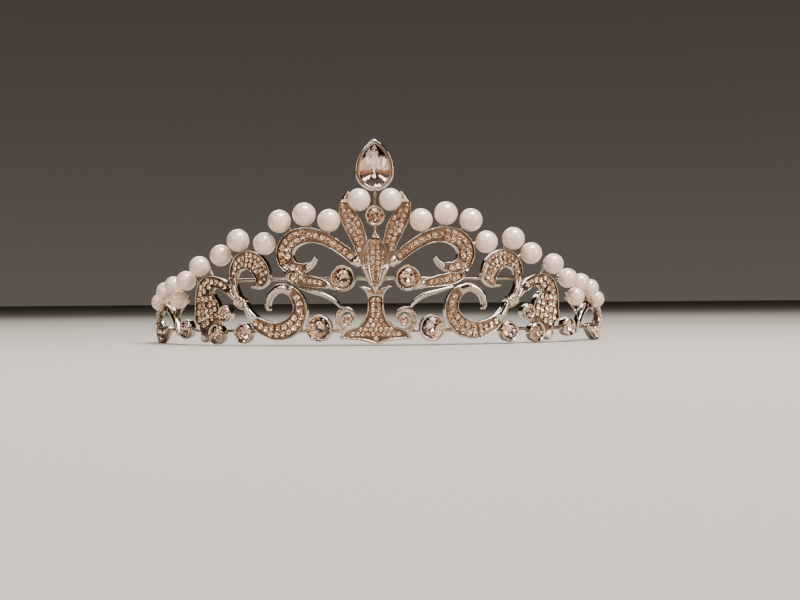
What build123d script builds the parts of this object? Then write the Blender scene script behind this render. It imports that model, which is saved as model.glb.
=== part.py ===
from build123d import *
import math
import os

os.makedirs("parts", exist_ok=True)

# Bridal tiara. Millimetres, +Z up, origin on the axis of the head ring at the height of its lowest
# point. The front of the ring faces -Y. A place on the ring is given as (s, z): s is the arc length
# from the middle of the front, positive towards +X, and z is the height.

# ---------------------------------------------------------------- driving dimensions
LAYOUT_R = 77.0      # radius on which the arc lengths s are laid out
BACK_R = 75.0        # back of every casting
FACE_R = 77.2        # polished rim of every casting
FLOOR_R = 76.3       # floor of the channels that hold the small stones
STRUT_R = 74.4       # inner face of the pearl struts, which are soldered to the castings' backs
HEIGHT = 64.0        # taller than everything, for cutting tools

RIM = 0.38           # width of the polished rim beside a channel
FINE_D = 1.42        # pave crystal of the plume, foot, leaves and commas, across its corners
BOLD_D = 1.90        # pave crystal of the arches, C scrolls, canes and ends
STONE_SIDES = 8
STONE_GAP = 0.11     # gap between two pave crystals
STONE_ROOM = 0.12    # room between a pave crystal and the channel's wall
FOOT_PITCH = FINE_D + STONE_GAP
FOOT_ROW = 1.36      # height of a staggered row of pave crystals in the foot

WIRE_D = 1.1         # rear wires
BASE_WIRE_Z = 4.6
BASE_WIRE_END = 107.6
UPPER_WIRE_Z = 20.2
UPPER_WIRE_SPAN = (1.5, 51.5)

PEG_D = 0.96         # peg glued into a pearl
PEG_HOLE_D = 1.0
PEG_DEPTH = 2.6
STRUT_W = 1.3
PAD_D = 2.6

CUP_WALL = 0.75      # wall of a round bezel
CUP_FLOOR = 0.6
CUP_DEPTH = 3.0
FIT = 0.02           # clearance between a set stone and its bezel

PEAR_R = 5.85        # round end of the pear bezel
PEAR_LENGTH = 15.6
PEAR_FOOT_Z = 46.3   # lowest point of the pear bezel
PEAR_RIM = 1.4
PEAR_DEPTH = 3.6

LOOP_D = 4.6         # hairpin loop at each end
LOOP_HOLE_D = 2.4
LOOP_T = 1.2
LOOP_S = 110.0

# ---------------------------------------------------------------- centre lines of the scrolls
# Each station is (s, z, width of the band there).
BIG_ARCH = [
    (5.6, 25.1, 2.9), (8.4, 27.8, 3.4), (11.9, 30.3, 3.6), (15.8, 32.4, 4.0), (20.2, 33.4, 4.6),
    (24.4, 32.7, 5.3), (27.4, 30.4, 5.6), (28.2, 27.4, 5.6), (27.0, 24.8, 5.0), (24.6, 23.5, 3.8),
    (21.9, 23.6, 2.8), (19.7, 24.7, 1.9), (18.4, 26.3, 1.1),
]
BIG_LEAF = [
    (27.6, 25.4, 4.4), (26.2, 22.0, 4.4), (23.0, 20.1, 4.0), (19.2, 19.4, 3.5), (15.4, 18.6, 2.5),
    (12.6, 17.4, 1.1),
]
RIB = [(23.4, 17.6, 1.0), (19.1, 16.4, 1.4), (15.5, 15.4, 1.6), (12.7, 13.9, 1.5), (10.6, 11.9, 1.1)]
C_SCROLL = [
    (42.3, 12.6, 1.8), (41.0, 10.0, 2.6), (37.6, 6.6, 4.2), (32.0, 4.5, 5.2), (27.2, 5.3, 5.6),
    (23.9, 8.6, 5.0), (23.3, 12.3, 4.4), (25.0, 15.6, 3.6), (28.2, 17.4, 3.0), (31.3, 17.2, 2.7),
    (33.6, 15.2, 2.2), (34.3, 12.8, 1.6), (34.0, 11.2, 1.0),
]
COMMA = [
    (44.7, 14.9, 1.2), (46.4, 17.6, 1.8), (47.2, 20.6, 2.4), (46.6, 23.4, 3.4), (44.4, 25.6, 4.9),
    (41.3, 26.3, 5.7), (38.4, 25.2, 6.0), (36.5, 22.9, 6.0), (36.2, 20.4, 5.0), (37.7, 18.5, 2.6),
    (39.6, 18.1, 1.0),
]
CANE = [
    (46.4, 14.6, 1.8), (49.4, 17.4, 3.1), (52.7, 19.2, 3.4), (55.9, 19.7, 4.0), (58.6, 18.9, 5.6),
    (60.2, 16.9, 7.4), (60.0, 14.2, 9.6), (59.1, 11.2, 12.0), (58.5, 8.2, 12.8), (58.8, 5.2, 10.0),
    (60.4, 2.4, 3.2),
]
END_SCROLL = [
    (75.8, 3.4, 1.4), (78.8, 7.6, 1.9), (83.2, 10.6, 2.3), (88.6, 12.0, 2.6), (94.4, 12.0, 3.1),
    (99.6, 10.6, 3.9), (102.6, 7.4, 4.8), (100.6, 4.0, 5.0), (96.0, 2.8, 5.4), (90.8, 3.2, 4.8),
    (86.4, 4.6, 2.6),
]
PLUME_LOBE = [
    (8.0, 45.6, 1.4), (9.0, 42.6, 3.6), (8.2, 39.4, 5.0), (6.5, 36.2, 5.6), (5.1, 32.8, 5.0),
    (4.1, 29.2, 4.0), (3.2, 25.2, 3.0), (2.1, 21.4, 2.2), (1.2, 18.6, 1.4),
]
PLUME_MIDDLE = [
    (0, 34.2, 1.0), (0, 32.4, 3.0), (0, 30.4, 5.4), (0, 28.2, 7.0), (0, 26.0, 7.4), (0, 23.8, 6.6),
    (0, 21.6, 5.2), (0, 19.4, 3.4), (0, 16.6, 1.3),
]
FOOT_CURL = [
    (9.0, 4.6, 1.6), (10.9, 5.7, 1.6), (11.6, 7.8, 1.6), (10.9, 9.9, 1.6), (9.0, 11.0, 1.5),
    (7.1, 10.4, 1.3), (6.2, 8.9, 0.9),
]
# Right half of the foot, from its top down to its lowest tip; each run is one smooth edge.
FOOT_RUNS = [
    [(0, 16.0), (1.2, 17.0), (3.0, 17.7), (5.4, 17.9)],
    [(5.4, 17.9), (3.4, 16.8), (2.5, 15.2), (2.4, 12.4), (2.95, 9.3), (4.2, 7.2), (6.3, 5.7), (8.8, 5.1)],
    [(8.8, 5.1), (10.2, 3.9), (10.9, 2.0)],
    [(10.9, 2.0), (7.5, 1.9), (3.5, 1.4), (0, 0)],
]
FOOT_CHANNEL = [
    (0, 15.0), (1.9, 14.6), (1.9, 12.4), (2.4, 9.2), (3.7, 6.8), (6.2, 5.1), (8.6, 4.4), (9.6, 2.7),
    (6.8, 2.5), (3.2, 2.1), (0, 1.1),
]

# Stretch of each band that has a stone channel, as shares of its length.
LOBE_CHANNEL = (0.09, 0.80)
MIDDLE_CHANNEL = (0.12, 0.92)
C_CHANNEL = (0.12, 0.62)
ARCH_CHANNEL = (0.02, 0.87)
LEAF_CHANNEL = (0.20, 0.84)
COMMA_CHANNEL = (0.20, 0.90)
CANE_CHANNEL = (0.08, 0.97)
END_CHANNEL = (0.22, 0.97)

# ---------------------------------------------------------------- pearls and bezels
# Pearls: (s, z, diameter) and the place on the casting that the strut is soldered to.
CROWN_PEARLS = [((4.6, 43.7, 6.8), (8.0, 40.5))]
BIG_PEARLS = [
    ((13.6, 37.6, 6.9), (14.4, 32.0)), ((21.1, 39.6, 7.1), (20.9, 34.0)),
    ((29.0, 37.7, 7.0), (26.4, 32.4)), ((34.1, 31.1, 6.9), (28.6, 29.2)),
]
COMMA_PEARLS = [((43.6, 32.3, 7.0), (43.0, 26.6)), ((50.7, 27.9, 6.7), (46.6, 24.6))]
CANE_PEARLS = [((60.6, 24.7, 6.5), (58.4, 19.8)), ((68.1, 20.3, 6.3), (62.4, 16.9))]
END_PEARLS = [
    ((73.1, 14.4, 5.9), (79.4, 8.8)), ((77.0, 19.0, 5.8), (81.6, 10.6)),
    ((84.2, 17.2, 5.9), (87.0, 12.1)), ((91.0, 13.6, 5.6), (93.0, 12.4)),
]
# Round bezels: (s, z, outer diameter).
CROWN_BEZEL = [(0, 39.0, 6.1)]
CURL_BEZELS = [(8.4, 7.75, 3.6)]
LARGE_BEZELS = [(9.75, 20.3, 7.7), (17.0, 5.4, 8.0)]
SMALL_BEZELS = [(42.8, 3.9, 6.4), (50.3, 9.9, 5.0), (53.9, 3.5, 6.4), (70.1, 5.0, 6.3)]

COLLAR_S, COLLAR_Z = 44.3, 13.4
COLLAR_LENGTH = 3.6
COLLAR_TILT = 25.0
COLLAR_RADII = (1.5, 2.0, 1.6, 2.1, 1.6, 2.0, 1.5)   # ridged profile from one end to the other


# ---------------------------------------------------------------- placing and outlines
def turn(shape, s):
    """Carry a shape from the middle of the front round the ring to arc length s."""
    return Rot(0, 0, math.degrees(s / LAYOUT_R)) * shape


def flat_x(s, middle):
    """Sideways distance of arc length s in the plane that touches the ring at middle."""
    return LAYOUT_R * math.sin((s - middle) / LAYOUT_R)


def smooth(stations, steps=3):
    """Stations on a curve that passes through all the given ones (Catmull-Rom)."""
    ends = [stations[0], *stations, stations[-1]]
    dense = []
    for a, b, c, d in zip(ends, ends[1:], ends[2:], ends[3:]):
        for k in range(steps):
            t = k / steps
            dense.append(tuple(
                0.5 * (2 * q + (r - p) * t + (2 * p - 5 * q + 4 * r - u) * t**2
                       + (3 * q - 3 * r + u - p) * t**3)
                for p, q, r, u in zip(a, b, c, d)
            ))
    return [*dense, stations[-1]]


def sides(stations, inset=0.0):
    """Points along both edges of a band, each moved inwards by inset."""
    left, right = [], []
    for k, (s, z, width) in enumerate(stations):
        before = stations[max(k - 1, 0)]
        after = stations[min(k + 1, len(stations) - 1)]
        ds, dz = after[0] - before[0], after[1] - before[1]
        length = math.hypot(ds, dz)
        half = width / 2 - inset
        left.append((s - dz / length * half, z + ds / length * half))
        right.append((s + dz / length * half, z - ds / length * half))
    return left, right


def band_face(stations, middle, inset=0.0):
    """Outline of a band on the plane that touches the ring at middle."""
    left, right = sides(stations, inset)
    flat_left = [(flat_x(s, middle), z) for s, z in left]
    flat_right = [(flat_x(s, middle), z) for s, z in right]
    edges = [
        Spline(*flat_left),
        Line(flat_left[-1], flat_right[-1]),
        Spline(*reversed(flat_right)),
        Line(flat_right[0], flat_left[0]),
    ]
    return make_face(Wire(edges))


def ring(inner, outer):
    """Upright tube about the ring axis, used to give a plate its two curved faces."""
    tube = Cylinder(outer, HEIGHT) - Cylinder(inner, HEIGHT + 1)
    return Pos(0, 0, HEIGHT / 2) * tube


def plate(face, middle, inner, outer):
    """Raise an outline into a curved plate between two radii, and carry it to its place."""
    upright = Plane.XZ * Pos(0, 0, inner - 5) * face
    block = extrude(upright, amount=outer - inner + 10, dir=(0, -1, 0))
    return turn(block & ring(inner, outer), middle)


def as_one(shapes):
    """Fuse the shapes into one."""
    whole = shapes[0]
    for shape in shapes[1:]:
        whole += shape
    return whole


def mirrored(shape):
    """The same shape on the other side of the middle."""
    return mirror(shape, about=Plane.YZ)


# ---------------------------------------------------------------- pave stones
def cut_gem(diameter):
    """One pave crystal at the middle of the front: a cut foot, a straight girdle, a crown."""
    levels = [(0.02, 0.45), (0.35, 1.0), (0.41, 1.0), (0.65, 0.58)]   # shares: height, radius
    rings = [Plane.XY.offset(height * diameter) * RegularPolygon(diameter / 2 * share, STONE_SIDES)
             for height, share in levels]
    gem = as_one([loft([low, high]) for low, high in zip(rings, rings[1:])])
    return Pos(0, -FLOOR_R, 0) * Rot(90, 0, 0) * gem


def stone(s, z, diameter):
    """A pave crystal in its place on a channel floor."""
    return turn(Pos(0, 0, z) * gems[diameter], s)


def spots_in(stations, share, diameter, even=False):
    """(s, z, diameter) of the pave stones in the channel of a band, in as many rows as fit.

    With even set there is no middle row, so the stones leave a crease along the band.
    """
    pitch = diameter + STONE_GAP
    dense = smooth(stations, steps=24)
    first, last = (int(part * (len(dense) - 1)) for part in share)
    spots = []
    for k in range(max(first, 1), min(last, len(dense) - 1)):
        s, z, width = dense[k]
        ds, dz = dense[k + 1][0] - dense[k - 1][0], dense[k + 1][1] - dense[k - 1][1]
        length = math.hypot(ds, dz)
        free = width - 2 * (RIM + STONE_ROOM) - diameter
        if free < 0:
            continue
        rows = int(free / pitch) + 1
        if even and rows > 1:
            rows -= rows % 2
        for row in range(rows):
            off = (row - (rows - 1) / 2) * pitch
            spot = (s - dz / length * off, z + ds / length * off, diameter)
            if clear_spots([spot], spots, STONE_GAP - 0.01):
                spots.append(spot)
    return clear_spots(off_the_walls(spots, channel_part(stations, share)), all_pearls + all_cups, 0.1)


def off_the_walls(spots, channel):
    """Keep the stones that stand clear of both walls and both ends of a channel."""
    left, right = sides(channel, RIM)
    return [spot for spot in spots if gap_to_loop(spot, [*left, *reversed(right)]) >= STONE_ROOM / 2]


def gap_to_loop(spot, loop):
    """Smallest gap between a round stone and a closed loop of points."""
    lines = [(a, b) for a, b in zip(loop, loop[1:] + loop[:1]) if a[:2] != b[:2]]
    return min(gap_to_line(spot, a, b) for a, b in lines) - spot[2] / 2


def gap_to_line(point, a, b):
    """Distance from a point to the straight line between a and b."""
    along = (b[0] - a[0], b[1] - a[1])
    length2 = along[0]**2 + along[1]**2
    share = ((point[0] - a[0]) * along[0] + (point[1] - a[1]) * along[1]) / length2
    share = min(max(share, 0), 1)
    return math.dist(point[:2], (a[0] + share * along[0], a[1] + share * along[1]))


def clear_spots(spots, keep_out, gap):
    """Drop the stones that come nearer than gap to a round piece: (s, z, diameter)."""
    return [
        spot for spot in spots
        if all(math.dist(spot[:2], (s, z)) >= (d + spot[2]) / 2 + gap for s, z, d in keep_out)
    ]


# ---------------------------------------------------------------- pearls, pegs and bezels
def pearl(s, z, diameter):
    """A pearl whose back touches the castings' back radius, bored for its peg."""
    r = diameter / 2
    ball = Pos(0, -(BACK_R + r), z) * Sphere(r)
    bore = Pos(0, -(BACK_R + PEG_DEPTH / 2), z) * Rot(90, 0, 0) * Cylinder(PEG_HOLE_D / 2, PEG_DEPTH + 0.1)
    return turn(ball - bore, s)


def pearl_room(s, z, diameter):
    """The seat that a pearl needs in a casting."""
    r = diameter / 2
    return turn(Pos(0, -(BACK_R + r), z) * Sphere(r + 0.05), s)


def peg(place, anchor):
    """Peg, pad and strut of one pearl, in one piece."""
    s, z, _ = place
    anchor_s, anchor_z = anchor
    length = BACK_R - STRUT_R + PEG_DEPTH - 0.1
    post = Pos(0, -(STRUT_R + length / 2), z) * Rot(90, 0, 0) * Cylinder(PEG_D / 2, length)
    strut_line = [(s, z, STRUT_W), ((s + anchor_s) / 2, (z + anchor_z) / 2, STRUT_W),
                  (anchor_s, anchor_z, STRUT_W)]
    strut = plate(band_face(strut_line, s), s, STRUT_R, BACK_R)
    disc = plate(Pos(0, z) * Circle(PAD_D / 2), s, STRUT_R, BACK_R)
    return as_one([turn(post, s), disc, strut])


def cup(s, z, diameter):
    """Round bezel: a flat-backed cup, slightly narrower at the foot."""
    r = diameter / 2
    inside = r - CUP_WALL + FIT
    profile = Polyline(
        (0, BACK_R), (r - 0.25, BACK_R), (r, BACK_R + 1.2), (r, BACK_R + CUP_DEPTH - 0.35),
        (r - 0.35, BACK_R + CUP_DEPTH), (inside, BACK_R + CUP_DEPTH), (inside, BACK_R + CUP_FLOOR),
        (0, BACK_R + CUP_FLOOR), close=True,
    )
    solid = revolve(make_face(profile), axis=Axis.Y)
    return turn(Pos(0, 0, z) * Rot(0, 0, 180) * solid, s)


def cup_room(s, z, diameter):
    """The room that a round bezel needs in a casting."""
    solid = Pos(0, -(BACK_R + 5), z) * Rot(90, 0, 0) * Cylinder(diameter / 2 + 0.02, 12)
    return turn(solid, s)


def round_crystal(s, z, diameter):
    """Round brilliant that fills its bezel: cut foot, girdle, crown and table."""
    r = diameter / 2 - CUP_WALL
    low = BACK_R + CUP_FLOOR + FIT
    girdle = BACK_R + CUP_DEPTH - 0.5
    table = girdle + 0.25 * r + 0.15
    profile = Polyline(
        (0, low), (r * 0.15, low), (r, girdle - 0.15), (r, girdle), (r * 0.6, table), (0, table),
        close=True,
    )
    solid = revolve(make_face(profile), axis=Axis.Y)
    return turn(Pos(0, 0, z) * Rot(0, 0, 180) * solid, s)


# ---------------------------------------------------------------- the pear-shaped top
def pear_outline(inset):
    """Half circle below, two long arcs that meet in the tip above, moved inwards by inset."""
    rise = PEAR_LENGTH - PEAR_R
    side_r = (PEAR_R**2 + rise**2) / (2 * PEAR_R)
    centre_x = PEAR_R - side_r
    r = PEAR_R - inset
    arc_r = side_r - inset
    tip = math.sqrt(arc_r**2 - centre_x**2)
    half_turn = math.atan2(tip, -centre_x) / 2
    middle = (centre_x + arc_r * math.cos(half_turn), arc_r * math.sin(half_turn))
    edges = [
        ThreePointArc((-r, 0), (0, -r), (r, 0)),
        ThreePointArc((r, 0), middle, (0, tip)),
        ThreePointArc((0, tip), (-middle[0], middle[1]), (-r, 0)),
    ]
    return make_face(Wire(edges))


def pear_at(inset, radius):
    """The pear outline upright, at a distance from the ring axis."""
    centre_z = PEAR_FOOT_Z + PEAR_R
    return Plane(origin=(0, -radius, centre_z), x_dir=(1, 0, 0), z_dir=(0, -1, 0)) * pear_outline(inset)


def pear_bezel():
    """Cup with a flat back, a pear-shaped pocket and a sloped outer lip."""
    body = extrude(pear_at(0, BACK_R), amount=PEAR_DEPTH - 0.5)
    lip = loft([pear_at(0, BACK_R + PEAR_DEPTH - 0.5), pear_at(0.5, BACK_R + PEAR_DEPTH)])
    pocket = extrude(pear_at(PEAR_RIM - FIT, BACK_R + CUP_FLOOR), amount=PEAR_DEPTH)
    return body + lip - pocket


def pear_crystal():
    """Pear-shaped stone: sloped pavilion, girdle, crown and flat table."""
    low = BACK_R + CUP_FLOOR + FIT
    girdle = BACK_R + PEAR_DEPTH - 0.7
    pavilion = loft([pear_at(PEAR_RIM + 2.6, low), pear_at(PEAR_RIM, girdle)])
    belt = extrude(pear_at(PEAR_RIM, girdle), amount=0.2)
    crown = loft([pear_at(PEAR_RIM, girdle + 0.2), pear_at(PEAR_RIM + 1.5, girdle + 1.3)])
    return pavilion + belt + crown


# ---------------------------------------------------------------- wires, stem, collar, loops
def arc_wire(start, stop, z):
    """Round wire behind the castings, from arc length start to stop."""
    r = BACK_R - WIRE_D / 2
    turn_angle = math.degrees((stop - start) / LAYOUT_R)
    section = Plane.XZ * Pos(r, 0) * Circle(WIRE_D / 2)
    wire = revolve(section, axis=Axis.Z, revolution_arc=turn_angle)
    return Pos(0, 0, z) * turn(Rot(0, 0, -90) * wire, start)


def centre_stem():
    """Upright wire behind the centre, which carries the two top bezels."""
    radius = 0.7
    low, high = 29.0, 53.0
    return Pos(0, -(BACK_R - radius), (low + high) / 2) * Cylinder(radius, high - low)


def collar():
    """Ridged knot that binds the ends of three scrolls."""
    count = len(COLLAR_RADII)
    step = COLLAR_LENGTH / (count - 1)
    rim = [(k * step - COLLAR_LENGTH / 2, COLLAR_RADII[k]) for k in range(count)]
    outline = Wire([Spline(*rim), Line(rim[-1], (rim[-1][0], 0)),
                    Line((rim[-1][0], 0), (rim[0][0], 0)), Line((rim[0][0], 0), rim[0])])
    barrel = revolve(make_face(outline), axis=Axis.X)
    middle_r = (BACK_R + FACE_R) / 2 + 0.3
    return turn(Pos(0, -middle_r, COLLAR_Z) * Rot(0, -COLLAR_TILT, 0) * barrel, COLLAR_S)


def pin_loop():
    """Flat ring at the end of the base wire, for a hairpin."""
    disc = Cylinder(LOOP_D / 2, LOOP_T) - Cylinder(LOOP_HOLE_D / 2, LOOP_T + 1)
    return turn(Pos(0, -(BACK_R - WIRE_D / 2), BASE_WIRE_Z) * Rot(90, 0, 0) * disc, LOOP_S)


# ---------------------------------------------------------------- castings
def channel_part(stations, share):
    """The stations of a band between two shares of its length."""
    dense = smooth(stations)
    start, stop = (int(part * (len(dense) - 1)) for part in share)
    return dense[start:stop + 1]


def channel_face(stations, share, middle):
    """Outline of the stone channel in a band."""
    return band_face(channel_part(stations, share), middle, RIM)


def band_casting(bands, middle, channels):
    """Curved plate made of bands, with a recessed channel for each (band, share)."""
    body = as_one([plate(band_face(smooth(b), middle), middle, BACK_R, FACE_R) for b in bands])
    for stations, share in channels:
        body -= plate(channel_face(stations, share, middle), middle, FLOOR_R, FACE_R + 1)
    return body


def half_foot_face(runs):
    """Right half of the foot, closed along the middle line."""
    edges = [Spline(*[(flat_x(s, 0), z) for s, z in run]) for run in runs]
    top, low = runs[0][0], runs[-1][-1]
    return make_face(Wire([*edges, Line(low, top)]))


def centre_foot():
    """Stem with two horns, a flared base with a low tip, and a curl on each side."""
    half = half_foot_face(FOOT_RUNS)
    curl = band_face(smooth(FOOT_CURL), 0)
    right = plate(half, 0, BACK_R, FACE_R) + plate(curl, 0, BACK_R, FACE_R)
    channel = half_foot_face([FOOT_CHANNEL[:2], FOOT_CHANNEL[1:8], FOOT_CHANNEL[7:]])
    body = right + mirrored(right)
    cut = plate(channel, 0, FLOOR_R, FACE_R + 1)
    return body - cut - mirrored(cut)


def without(body, rooms):
    """Take the room of other pieces out of a casting."""
    for room in rooms:
        body -= room
    return body


def largest(body):
    """The largest solid of a cut body, without the slivers that a cut can leave."""
    return max(body.solids(), key=lambda solid: solid.volume)


def inside(point, loop):
    """Whether a point lies inside a closed loop of points."""
    crossings = 0
    for a, b in zip(loop, loop[1:] + loop[:1]):
        if (a[1] > point[1]) != (b[1] > point[1]):
            crossings += point[0] < a[0] + (b[0] - a[0]) * (point[1] - a[1]) / (b[1] - a[1])
    return crossings % 2 == 1


def spots_in_foot():
    """Stones in the foot: one in the low tip, staggered rows in the base, two columns in the stem."""
    tip_low, base_low, stem_low = 2.15, 3.55, 9.2
    spots = [(0, tip_low, FINE_D)]
    for row in range(4):
        shift = 0.5 if row % 2 == 0 else 0
        height = base_low + row * FOOT_ROW
        spots += [((k + shift) * FOOT_PITCH, height, FINE_D) for k in range(-6, 7)]
    for row in range(4):
        height = stem_low + row * FOOT_PITCH
        spots += [(FOOT_PITCH / 2, height, FINE_D), (-FOOT_PITCH / 2, height, FINE_D)]
    loop = FOOT_CHANNEL + [(-s, z) for s, z in reversed(FOOT_CHANNEL)]
    return [spot for spot in spots
            if inside(spot, loop) and gap_to_loop(spot, loop) >= STONE_ROOM / 2]


# ---------------------------------------------------------------- writing the nodes
def save(name, *shapes):
    """Write one node; several shapes become separate solids of the same node."""
    solids = [solid for shape in shapes for solid in shape.solids()]
    body = solids[0] if len(solids) == 1 else Compound(children=solids)
    body.label = name
    export_step(body, f"parts/{name}.step")
    print(name, len(solids), round(sum(solid.volume for solid in solids), 2))


def save_pair(name, *shapes):
    """Write the right-hand piece and its mirror image."""
    save(f"{name}_right", *shapes)
    save(f"{name}_left", *[mirrored(shape) for shape in shapes])


gems = {diameter: cut_gem(diameter) for diameter in (FINE_D, BOLD_D)}
all_pearls = [place for group in (CROWN_PEARLS, BIG_PEARLS, COMMA_PEARLS, CANE_PEARLS, END_PEARLS)
              for place, _ in group]
all_cups = CROWN_BEZEL + CURL_BEZELS + LARGE_BEZELS + SMALL_BEZELS


def near(items, low, high):
    """The round pieces whose middle lies between two arc lengths."""
    return [item for item in items if low <= item[0] <= high]


def beside_middle(spot):
    """Whether a stone of a lobe stands clear of the plume's middle leaf."""
    edge = [(width / 2, z) for _, z, width in smooth(PLUME_MIDDLE)]
    loop = edge + [(-s, z) for s, z in reversed(edge)]
    return not inside(spot, loop) and gap_to_loop(spot, loop) >= STONE_ROOM + 0.1


def rooms_for(low, high):
    """Rooms of the pearls and bezels between two arc lengths."""
    return ([pearl_room(*p) for p in near(all_pearls, low, high)]
            + [cup_room(*c) for c in near(all_cups, low, high)])


knot = collar()
loop = pin_loop()

# The middle
lobe_wall = plate(band_face(smooth(PLUME_LOBE), 0), 0, BACK_R, FACE_R)
middle_wall = plate(band_face(smooth(PLUME_MIDDLE), 0), 0, BACK_R, FACE_R)
middle_guard = plate(band_face(smooth(PLUME_MIDDLE), 0, -0.1), 0, FLOOR_R - 1, FACE_R + 2)
lobe_channel = plate(channel_face(PLUME_LOBE, LOBE_CHANNEL, 0), 0, FLOOR_R, FACE_R + 1) - middle_guard
middle_channel = plate(channel_face(PLUME_MIDDLE, MIDDLE_CHANNEL, 0), 0, FLOOR_R, FACE_R + 1)
plume = lobe_wall + mirrored(lobe_wall) + middle_wall
plume = plume - lobe_channel - mirrored(lobe_channel) - middle_channel
plume_rooms = rooms_for(0, 16)
plume = without(plume, plume_rooms + [mirrored(room) for room in plume_rooms])
save("centre_plume", plume)
lobe_spots = [spot for spot in spots_in(PLUME_LOBE, LOBE_CHANNEL, FINE_D) if beside_middle(spot)]
middle_spots = spots_in(PLUME_MIDDLE, MIDDLE_CHANNEL, FINE_D, even=True)
left_spots = [(-s, z, diameter) for s, z, diameter in lobe_spots]
save("plume_pave", *[stone(*spot) for spot in lobe_spots + left_spots + middle_spots])

foot = centre_foot() - plume
foot_rooms = rooms_for(7, 10)
foot = without(foot, foot_rooms + [mirrored(room) for room in foot_rooms])
save("centre_foot", foot)
save("foot_pave", *[stone(*spot) for spot in spots_in_foot()])
save("centre_stem", centre_stem())
save("pear_bezel", pear_bezel())
save("pear_crystal", pear_crystal())
save("crown_bezel", *[cup(*c) for c in CROWN_BEZEL])
save("crown_crystal", *[round_crystal(*c) for c in CROWN_BEZEL])
curl_cups = [cup(*c) for c in CURL_BEZELS]
curl_stones = [round_crystal(*c) for c in CURL_BEZELS]
save("curl_bezels", *curl_cups, *[mirrored(c) for c in curl_cups])
save("curl_crystals", *curl_stones, *[mirrored(c) for c in curl_stones])
crown_pearls = [pearl(*p) for p, _ in CROWN_PEARLS]
crown_pegs = [peg(p, a) for p, a in CROWN_PEARLS]
save("crown_pearls", *crown_pearls, *[mirrored(p) for p in crown_pearls])
save("crown_pearl_pegs", *crown_pegs, *[mirrored(p) for p in crown_pegs])

# The scrolls of one side
c_scroll = band_casting([C_SCROLL], 32, [(C_SCROLL, C_CHANNEL)])
c_scroll = without(c_scroll, rooms_for(16, 45) + [knot])
save_pair("c_scroll", c_scroll)
save_pair("c_scroll_pave", *[stone(*spot) for spot in spots_in(C_SCROLL, C_CHANNEL, BOLD_D)])

big_scroll = band_casting([BIG_ARCH, BIG_LEAF], 18, [(BIG_ARCH, ARCH_CHANNEL), (BIG_LEAF, LEAF_CHANNEL)])
big_scroll = largest(without(big_scroll, rooms_for(4, 36) + [plume, c_scroll]))
save_pair("big_scroll", big_scroll)
arch_spots = spots_in(BIG_ARCH, ARCH_CHANNEL, BOLD_D)
leaf_spots = clear_spots(spots_in(BIG_LEAF, LEAF_CHANNEL, FINE_D), arch_spots, STONE_GAP)
save_pair("big_scroll_pave", *[stone(*spot) for spot in arch_spots + leaf_spots])

rib = band_casting([RIB], 17, []) - c_scroll - foot
save_pair("leaf_rib", rib)

comma = band_casting([COMMA], 41, [(COMMA, COMMA_CHANNEL)])
comma = without(comma, rooms_for(33, 52) + [knot, c_scroll])
save_pair("comma_scroll", comma)
save_pair("comma_pave", *[stone(*spot) for spot in spots_in(COMMA, COMMA_CHANNEL, FINE_D)])

cane = band_casting([CANE], 56, [(CANE, CANE_CHANNEL)])
cane = without(cane, rooms_for(42, 72) + [knot, comma])
save_pair("cane_scroll", cane)
save_pair("cane_pave", *[stone(*spot) for spot in spots_in(CANE, CANE_CHANNEL, BOLD_D)])

end = band_casting([END_SCROLL], 90, [(END_SCROLL, END_CHANNEL)])
end = without(end, rooms_for(66, 96))
save_pair("end_scroll", end)
save_pair("end_pave", *[stone(*spot) for spot in spots_in(END_SCROLL, END_CHANNEL, BOLD_D)])

save_pair("collar", knot)
save_pair("pin_loop", loop)

# Stones, pearls and wires of one side
save_pair("large_bezels", *[cup(*c) for c in LARGE_BEZELS])
save_pair("large_crystals", *[round_crystal(*c) for c in LARGE_BEZELS])
save_pair("small_bezels", *[cup(*c) for c in SMALL_BEZELS])
save_pair("small_crystals", *[round_crystal(*c) for c in SMALL_BEZELS])
save_pair("big_scroll_pearls", *[pearl(*p) for p, _ in BIG_PEARLS])
save_pair("comma_pearls", *[pearl(*p) for p, _ in COMMA_PEARLS])
save_pair("cane_pearls", *[pearl(*p) for p, _ in CANE_PEARLS])
save_pair("end_pearls", *[pearl(*p) for p, _ in END_PEARLS])
save_pair("pearl_pegs", *[peg(p, a) for group in (BIG_PEARLS, COMMA_PEARLS, CANE_PEARLS, END_PEARLS)
                          for p, a in group])
save_pair("upper_wire", arc_wire(*UPPER_WIRE_SPAN, UPPER_WIRE_Z))
save("base_wire", arc_wire(-BASE_WIRE_END, BASE_WIRE_END, BASE_WIRE_Z))
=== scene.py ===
# %% [markdown]
# A bridal tiara is a costume jeweller's assembly: cast scrolls, rhodium plated and polished, whose
# channels are set with small crystals, larger stones in bezels, and imitation pearls on pegs.
# The imported model gives every piece its place, so this lesson starts by loading it.

# %% Load the frame
import math
import random

import bmesh
import bpy
from mathutils import Matrix, Vector, noise


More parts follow.
